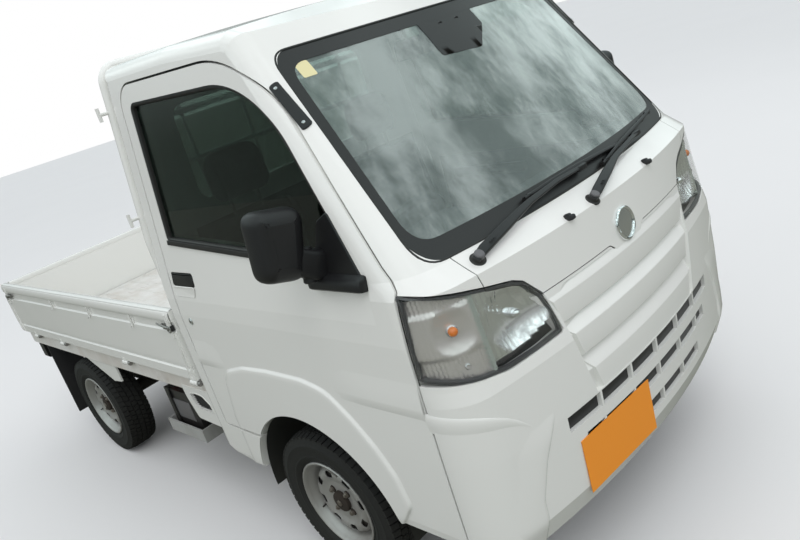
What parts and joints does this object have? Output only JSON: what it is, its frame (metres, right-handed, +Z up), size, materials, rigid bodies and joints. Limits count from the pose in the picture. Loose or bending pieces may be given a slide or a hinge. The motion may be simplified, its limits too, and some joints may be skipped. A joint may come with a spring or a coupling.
{
  "type": "kei truck",
  "caption": "Small cab-over truck with a hollow two-seat cab, opening doors, steering wheels on knuckles and a flat bed with folding gates.",
  "frame": {"origin": "on the ground under the middle of the length and width", "axes": "+X forward, +Y to the truck's left, +Z up"},
  "size_m": [3.3949, 1.774, 1.7799],
  "materials": {
    "body_white": "gloss",
    "glass": "clear",
    "lamp": "clear",
    "lamp_red": "gloss",
    "black_plastic": "matte",
    "grey_plastic": "matte",
    "seat_cover": "matte",
    "wheel_silver": "satin",
    "tyre": "matte",
    "chassis_black": "satin",
    "engine_metal": "rough",
    "plate_yellow": "gloss",
    "steel": "satin"
  },
  "bodies": {
    "truck": {"cab_shell": "body_white", "cab_glass": "glass", "front_cover": "body_white", "headlamps": "lamp", "front_bumper": "body_white", "radiator": "engine_metal", "cab_floor": "chassis_black", "seats": "seat_cover", "dashboard": "grey_plastic", "camera_pod": "black_plastic", "wipers": "black_plastic", "chassis_frame": "chassis_black", "engine_block": "engine_metal", "rear_axle": "chassis_black", "leaf_springs": "chassis_black", "front_suspension": "chassis_black", "fuel_tank": "chassis_black", "exhaust": "steel", "battery_tray": "chassis_black", "battery": "black_plastic", "bed_floor": "body_white", "guard_frame": "body_white", "rear_lamps": "lamp_red", "rear_bar": "chassis_black", "mud_flaps": "black_plastic", "splash_guards": "chassis_black", "number_plates": "plate_yellow"},
    "door_right": {"door_right": "body_white", "door_glass_right": "glass", "mirror_right": "black_plastic"},
    "door_left": {"door_left": "body_white", "door_glass_left": "glass", "mirror_left": "black_plastic"},
    "side_gate_right": {"side_gate_right": "body_white"},
    "side_gate_left": {"side_gate_left": "body_white"},
    "rear_gate": {"rear_gate": "body_white"},
    "knuckle_right": {"knuckle_right": "chassis_black"},
    "knuckle_left": {"knuckle_left": "chassis_black"},
    "steering_wheel": {"steering_wheel": "black_plastic"},
    "wheel_front_right": {"rim_front_right": "wheel_silver", "tyre_front_right": "tyre"},
    "wheel_front_left": {"rim_front_left": "wheel_silver", "tyre_front_left": "tyre"},
    "wheel_rear_right": {"rim_rear_right": "wheel_silver", "tyre_rear_right": "tyre"},
    "wheel_rear_left": {"rim_rear_left": "wheel_silver", "tyre_rear_left": "tyre"}
  },
  "joints": [
    {"name": "door_right_hinge", "type": "hinge", "parent": "truck", "child": "door_right", "pos_m": [1.44, -0.725, 0.835], "axis": [0, 0, 1], "range_deg": [0, 62]},
    {"name": "door_left_hinge", "type": "hinge", "parent": "truck", "child": "door_left", "pos_m": [1.44, 0.725, 0.835], "axis": [0, 0, -1], "range_deg": [0, 62]},
    {"name": "side_gate_right_hinge", "type": "hinge", "parent": "truck", "child": "side_gate_right", "pos_m": [-0.7045, -0.73, 0.634], "axis": [1, 0, 0], "range_deg": [0, 170]},
    {"name": "side_gate_left_hinge", "type": "hinge", "parent": "truck", "child": "side_gate_left", "pos_m": [-0.7045, 0.73, 0.634], "axis": [-1, 0, 0], "range_deg": [0, 170]},
    {"name": "rear_gate_hinge", "type": "hinge", "parent": "truck", "child": "rear_gate", "pos_m": [-1.6905, 0, 0.634], "axis": [0, -1, 0], "range_deg": [0, 170]},
    {"name": "steer_right", "type": "hinge", "parent": "truck", "child": "knuckle_right", "pos_m": [0.888, -0.56, 0.267], "axis": [0, 0, 1], "range_deg": [-35, 35]},
    {"name": "steer_left", "type": "hinge", "parent": "truck", "child": "knuckle_left", "pos_m": [0.888, 0.56, 0.267], "axis": [0, 0, 1], "range_deg": [-35, 35]},
    {"name": "steering_wheel_turn", "type": "hinge", "parent": "truck", "child": "steering_wheel", "pos_m": [1.135, -0.345, 1.02], "axis": [-0.788, 0, 0.6157], "range_deg": [-562, 562]},
    {"name": "wheel_front_right_spin", "type": "hinge", "parent": "knuckle_right", "child": "wheel_front_right", "pos_m": [0.888, -0.652, 0.267], "axis": [0, 1, 0], "continuous": true},
    {"name": "wheel_front_left_spin", "type": "hinge", "parent": "knuckle_left", "child": "wheel_front_left", "pos_m": [0.888, 0.652, 0.267], "axis": [0, 1, 0], "continuous": true},
    {"name": "wheel_rear_right_spin", "type": "hinge", "parent": "truck", "child": "wheel_rear_right", "pos_m": [-1.012, -0.652, 0.267], "axis": [0, 1, 0], "continuous": true},
    {"name": "wheel_rear_left_spin", "type": "hinge", "parent": "truck", "child": "wheel_rear_left", "pos_m": [-1.012, 0.652, 0.267], "axis": [0, 1, 0], "continuous": true}
  ],
  "couplings": [
    {"joint": "steer_left", "follows": "steer_right", "ratio": 1},
    {"joint": "steering_wheel_turn", "follows": "steer_right", "ratio": 16}
  ]
}
